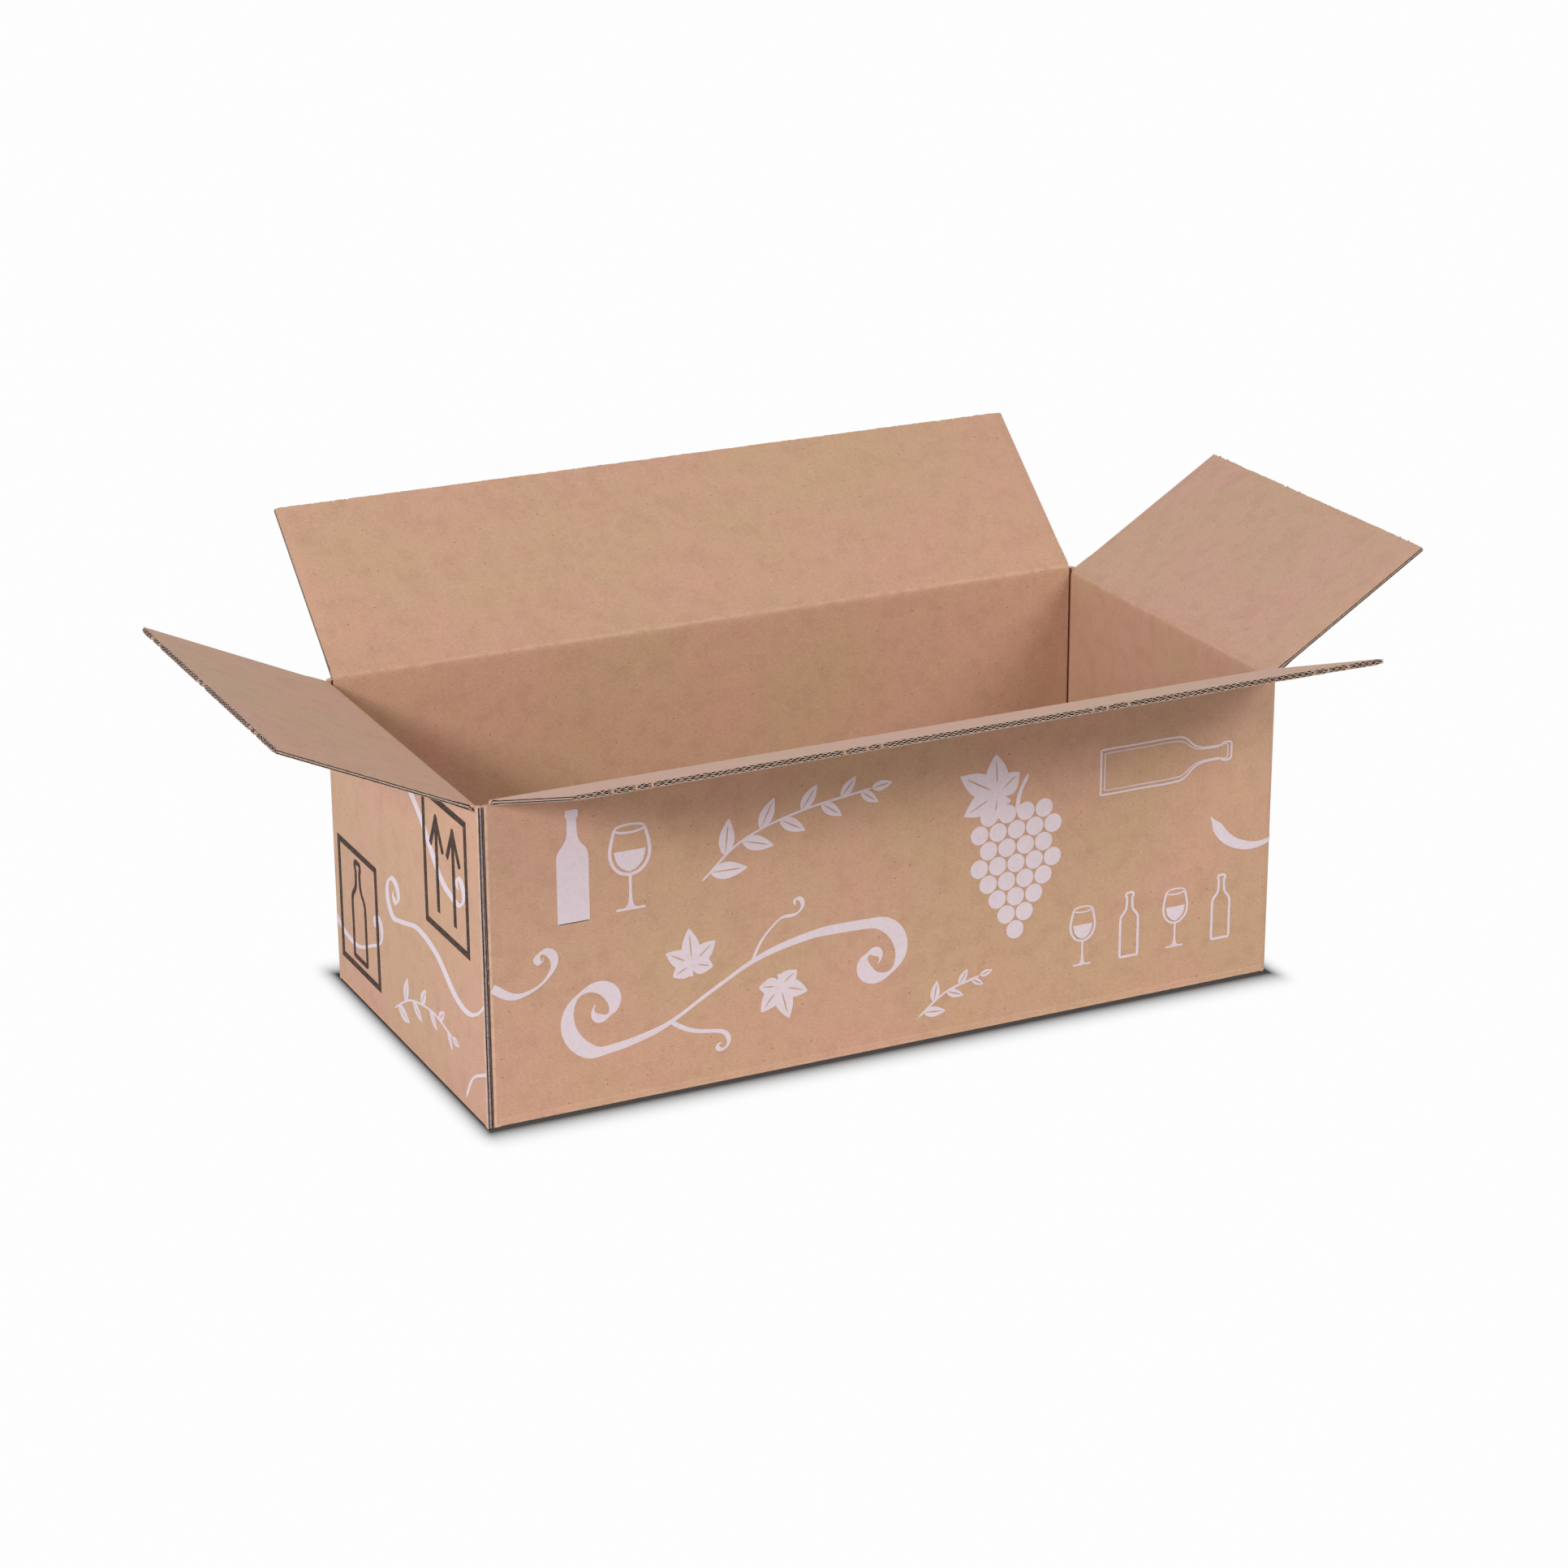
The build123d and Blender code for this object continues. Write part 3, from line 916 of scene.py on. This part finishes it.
def spline(*knots, steps=12):
    """A smooth line through the knots."""
    knots = np.array(knots, float)
    padded = np.vstack([2 * knots[0] - knots[1], knots, 2 * knots[-1] - knots[-2]])
    t = np.linspace(0, 1, steps, endpoint=False)[:, None]
    parts = [
        0.5 * (2 * b + (c - a) * t + (2 * a - 5 * b + 4 * c - d) * t**2 + (3 * b - a - 3 * c + d) * t**3)
        for a, b, c, d in zip(padded[:-3], padded[1:-2], padded[2:-1], padded[3:])
    ]
    return np.vstack([*parts, knots[-1:]])


def spiral(centre, first_radius, last_radius, first_angle, last_angle):
    angle = np.radians(np.linspace(first_angle, last_angle, 60))
    radius = np.geomspace(first_radius, last_radius, 60)
    return np.stack([centre[0] + radius * np.cos(angle), centre[1] + radius * np.sin(angle)], -1)


def flowing(*parts):
    """Several lines joined into one, with no kink where they meet."""
    line = evenly(np.vstack(parts))[0]
    for _ in range(10):
        line[1:-1] = (line[:-2] + 2 * line[1:-1] + line[2:]) / 4
    return line


def evenly(line):
    """The same line with points at even distances, and each point's distance from its start."""
    lengths = np.linalg.norm(np.diff(line, axis=0), axis=1)
    along = np.concatenate([[0], np.cumsum(lengths)])
    at = np.linspace(0, along[-1], max(5, int(along[-1] / STROKE_STEP) + 1))
    return np.stack([np.interp(at, along, line[:, k]) for k in (0, 1)], -1), at


def turned(points, degrees):
    angle = math.radians(degrees)
    return points @ np.array([[math.cos(angle), math.sin(angle)], [-math.sin(angle), math.cos(angle)]])


def profile_points(profile, width, height):
    """The right-hand side of an upright shape, from (height, half width) shares."""
    return spline(*[(half * width, high * height) for high, half in profile], steps=5)


BOTTLE = (
    (0.0, 0.45), (0.02, 0.5), (0.3, 0.5), (0.56, 0.5), (0.64, 0.44), (0.71, 0.25), (0.78, 0.165),
    (0.92, 0.15), (0.935, 0.2), (0.985, 0.2), (1.0, 0.16),
)
BOWL = ((0.44, 0.05), (0.47, 0.24), (0.56, 0.42), (0.7, 0.5), (0.85, 0.46), (1.0, 0.38))
FOOT = ((0.0, 0.36), (0.03, 0.34), (0.07, 0.07), (0.42, 0.04), (0.46, 0.1))


def bottle_outline(ink, foot, width, height, line_width, direction=0.0):
    """A bottle drawn as one closed line."""
    side = profile_points(BOTTLE, width, height)
    around = np.vstack([[(0, 0)], side, [(0, height)], (side * np.array([-1, 1]))[::-1], [(0, 0)]])
    ink.outline(turned(around, direction) + np.array(foot), line_width)


def glass(ink, foot, width, height, line_width):
    """A stemmed glass: the bowl in outline, half full, and the stem and foot filled."""
    side = profile_points(BOWL, width, height)
    around = np.vstack([(side * np.array([-1, 1]))[::-1], side])
    ink.outline(around + np.array(foot), line_width)
    rim = spiral((0, 0), 1, 1, 0, 360) * np.array([0.38 * width, 0.05 * height]) + np.array([0, height])
    ink.outline(rim + np.array(foot), 0.7 * line_width)
    ink.silhouette(FOOT, foot, width, height)
    wine = [(high, half - 0.1) for high, half in BOWL if high < 0.72]
    ink.silhouette(wine, (foot[0], foot[1] + 0.03 * height), width, height)


def sprig(ink, stem, leaf_length, count):
    """A stem with leaves set left and right in turn, smaller towards its tip."""
    ink.stroke(stem, 1.6, 0.9)
    line = evenly(stem)[0]
    for number in range(count):
        share = (number + 0.6) / count
        spot = int(share * (len(line) - 2))
        run = line[spot + 1] - line[spot]
        heading = math.degrees(math.atan2(run[1], run[0]))
        size = leaf_length * (1.1 - 0.5 * share)
        ink.leaf(line[spot], heading + (44 if number % 2 else -44), size, 0.42 * size)
    end = line[-1] - line[-2]
    ink.leaf(line[-1], math.degrees(math.atan2(end[1], end[0])), 0.6 * leaf_length, 0.26 * leaf_length)


def grapes(ink, top, radius):
    """A bunch of grapes hanging from a stalk, with a vine leaf beside it."""
    gap = 2.12 * radius
    for row, count in enumerate((4, 5, 4, 5, 4, 3, 2, 1)):
        for number in range(count):
            ink.disc((top[0] + (number - (count - 1) / 2) * gap, top[1] - row * gap * 0.86), radius)
    ink.stroke(spline(top, (top[0] + 1.5, top[1] + 2 * radius), (top[0] + 6, top[1] + 4 * radius)), 2.2, 1.4)
    ink.vine_leaf((top[0] - 2.2 * radius, top[1] + 2.4 * radius), 150, 5 * radius)


def print_front():
    ink = Print("front")
    vine = flowing(
        spiral((54, 47), 3, 21, 130, 625),
        spline((68, 28), (86, 33), (108, 45), (132, 57), (158, 63), (178, 63.5)),
        spiral((190, 45), 18, 2.6, 85, -420),
    )
    ink.stroke(vine, 7.5, 1.6, tapers=(14, 12))
    ink.vine_leaf((99, 60), 95, 17)
    ink.vine_leaf((142, 41), -75, 17)
    tendrils = (
        (spline((88, 34), (98, 28), (110, 25.5)), spiral((112, 18.5), 6.8, 1.2, 80, -330)),
        (spline((128, 55), (133, 65), (142, 74)), spiral((150, 80), 7.6, 1.2, -140, 260)),
    )
    for parts in tendrils:
        ink.stroke(flowing(*parts), 2.2, 0.9)
    ink.silhouette(BOTTLE, (43, 90), 15, 52)
    glass(ink, (70, 91), 19, 38, 1.5)
    sprig(ink, spline((104, 98), (124, 114), (152, 123), (188, 128)), 17, 9)
    grapes(ink, (262, 104), 4.5)
    bottle_outline(ink, (306, 116), 22, 70, 0.9, -90)
    bottle_outline(ink, (308, 116), 18, 66, 0.5, -90)
    for number in range(4):
        place = (298 + 25 * number, 22)
        if number % 2:
            bottle_outline(ink, place, 9.5, 32, 1.2)
        else:
            glass(ink, place, 13, 28, 1.1)
    over_fold = flowing(
        spline((366, 84), (376, 71), (392, 66), (410, 73), (423, 86)),
        spiral((417, 93), 8.6, 1.6, -30, 420),
    )
    ink.stroke(over_fold, 5.5, 1.2, tapers=(8, 6))
    from_joint = flowing(
        spline((4.2, 66), (14, 60), (26, 63), (33, 70)),
        spiral((27.5, 75), 6.8, 1.2, -25, 400),
    )
    ink.stroke(from_joint, 4.2, 1.1, tapers=(0, 5))
    sprig(ink, spline((212, 12), (226, 22), (244, 27)), 11, 5)
    ink.to_piece("front_print", PALE_PRINT)


def print_left():
    ink = Print("left")
    high_curl = flowing(
        spline((-9, 122), (2, 112), (16, 110), (27, 116)),
        spiral((22, 123), 8, 1.4, -40, 420),
    )
    vine = flowing(
        spiral((84, 72), 2.2, 13, 100, 620),
        spline((98, 63), (114, 66), (136, 62), (158, 50), (174, 48), (186, 53), (191.7, 58)),
    )
    ribbon = flowing(
        spline((82, 128), (100, 134), (120, 124), (144, 102), (162, 96)),
        spiral((166, 105), 9, 1.6, -80, 300),
    )
    to_joint = spline((166, 4.5), (176, 18), (191.7, 26))
    low_curl = flowing(
        spline((-6, 40), (6, 30), (30, 27), (54, 36)),
        spiral((58, 48), 10, 1.6, -80, 330),
    )
    strokes = (
        (high_curl, 4.2, (3, 4)),
        (vine, 5.0, (8, 0)),
        (ribbon, 5.0, (6, 5)),
        (to_joint, 4.2, (5, 0)),
        (low_curl, 4.2, (3, 4)),
    )
    for line, nib, tapers in strokes:
        ink.stroke(line, nib, 1.2, tapers=tapers)
    sprig(ink, spline((78, 14), (100, 26), (128, 31), (152, 28)), 14, 7)
    ink.to_piece("left_print", PALE_PRINT)
    signs = Print("left", DARK_INK_LIFT)
    sign_frame(signs, (10, 16), (59, 75))
    bottle_outline(signs, (34.5, 21), 17, 49, 2.4)
    sign_frame(signs, (126, 76), (176, 137))
    for middle in (141, 161):
        signs.outline(np.array([(middle, 84), (middle, 126)]), SIGN_LINE)
        for way in (-1, 1):
            signs.outline(np.array([(middle + 7.5 * way, 114), (middle - 0.6 * way, 129.5)]), 2.8)
    signs.to_piece("left_signs", DARK_PRINT)


def sign_frame(ink, low, high):
    """A rectangle drawn with four bars that meet at its corners."""
    half = SIGN_LINE / 2
    for x in (low[0], high[0]):
        ink.outline(np.array([(x, low[1] - half), (x, high[1] + half)], float), SIGN_LINE)
    for z in (low[1], high[1]):
        ink.outline(np.array([(low[0], z), (high[0], z)], float), SIGN_LINE)


# Floor, light and camera


def seen_directly(tree):
    """1 for rays from the camera and for reflections, which both show the backdrop's white."""
    path = add_node(tree, "LightPath")
    return math_node(tree, "ADD", path.outputs["Is Camera Ray"], path.outputs["Is Glossy Ray"], clamp=True)


def make_floor():
    mesh = bpy.data.meshes.new("floor")
    corners = [(x * FLOOR_HALF, y * FLOOR_HALF, 0) for x, y in ((-1, -1), (1, -1), (1, 1), (-1, 1))]
    mesh.from_pydata(corners, [], [(0, 1, 2, 3)])
    floor = bpy.data.objects.new("floor", mesh)
    bpy.context.scene.collection.objects.link(floor)
    material, tree = new_material("floor_white")
    place = add_node(tree, "SeparateXYZ", {0: add_node(tree, "TexCoord").outputs["Object"]})
    gaps = []
    for axis, half_size in (("X", HALF_LENGTH), ("Y", HALF_WIDTH)):
        dark_to = half_size + SHADOW_CORE[axis]
        beyond = math_node(tree, "SUBTRACT", math_node(tree, "ABSOLUTE", place.outputs[axis]), dark_to)
        gap = math_node(tree, "MAXIMUM", beyond, 0.0)
        gaps.append(math_node(tree, "DIVIDE", gap, SHADOW_REACH[axis]))
    # painted shadow: near the box the camera sees a dark floor, fading to white with distance
    near = math_node(tree, "SUBTRACT", 1.0, hypotenuse(tree, *gaps), clamp=True)
    away = math_node(tree, "SUBTRACT", 1.0, math_node(tree, "POWER", near, SHADOW_CURVE))
    seen = seen_directly(tree)
    shade = mix_colours(tree, seen, (*[FLOOR_PAINT] * 3, 1.0), (*[SHADOW_PAINT] * 3, 1.0))
    paint = add_node(tree, "BsdfDiffuse", {"Color": shade})
    glow = add_node(tree, "Emission", {"Color": BACKDROP_WHITE, "Strength": 1.0})
    share = math_node(tree, "MULTIPLY", away, seen)
    mixed = add_node(tree, "MixShader", {0: share, 1: paint.outputs[0], 2: glow.outputs[0]})
    output = add_node(tree, "OutputMaterial")
    tree.links.new(mixed.outputs[0], output.inputs["Surface"])
    mesh.materials.append(material)


def make_world():
    world = bpy.data.worlds.new("white_room")
    bpy.context.scene.world = world
    world.use_nodes = True
    tree = world.node_tree
    tree.nodes.clear()
    seen = seen_directly(tree)
    room = add_node(tree, "Background", {"Color": (1.0, 1.0, 1.0, 1.0), "Strength": ROOM_LIGHT})
    backdrop = add_node(tree, "Background", {"Color": BACKDROP_WHITE, "Strength": 1.0})
    mixed = add_node(tree, "MixShader", {0: seen, 1: room.outputs[0], 2: backdrop.outputs[0]})
    output = add_node(tree, "OutputWorld")
    tree.links.new(mixed.outputs[0], output.inputs["Surface"])


def make_lamp(name, place, size, power, colour):
    data = bpy.data.lights.new(name, "AREA")
    data.shape = "DISK"
    data.size = size
    data.energy = power
    data.color = colour
    lamp = bpy.data.objects.new(name, data)
    lamp.location = place
    lamp.rotation_euler = (LAMP_TARGET - Vector(place)).to_track_quat("-Z", "Y").to_euler()
    bpy.context.scene.collection.objects.link(lamp)


def make_camera():
    data = bpy.data.cameras.new("camera")
    data.sensor_width = SENSOR
    data.lens = FOCAL_PIXELS / PHOTO_SIDE * SENSOR
    data.clip_start = 0.05
    data.clip_end = 50
    camera = bpy.data.objects.new("camera", data)
    back = -CAMERA_FORWARD.normalized()
    right = (CAMERA_RIGHT - CAMERA_RIGHT.dot(back) * back).normalized()
    up = back.cross(right)
    matrix = Matrix((right, up, back)).transposed().to_4x4()
    matrix.translation = CAMERA_PLACE
    camera.matrix_world = matrix
    bpy.context.scene.collection.objects.link(camera)
    bpy.context.scene.camera = camera


make_camera()
make_world()
make_floor()
for lamp in LAMPS:
    make_lamp(*lamp)
bpy.context.scene.view_settings.view_transform = "Standard"

walls = frame["nodes"][BODY]
walls.data.materials.clear()
walls.data.materials.append(KRAFT_WALLS)
for seed, side in enumerate(SIDES):
    make_flap(side, seed)
    make_skin(side, side + "_score_inner", inner_profile, 10 + seed)
    make_skin(side, side + "_score_outer", outer_profile, 20 + seed)
make_raw_edge()
make_fold_tops()
make_lower_folds()
make_bottom_edges()
print_front()
print_left()
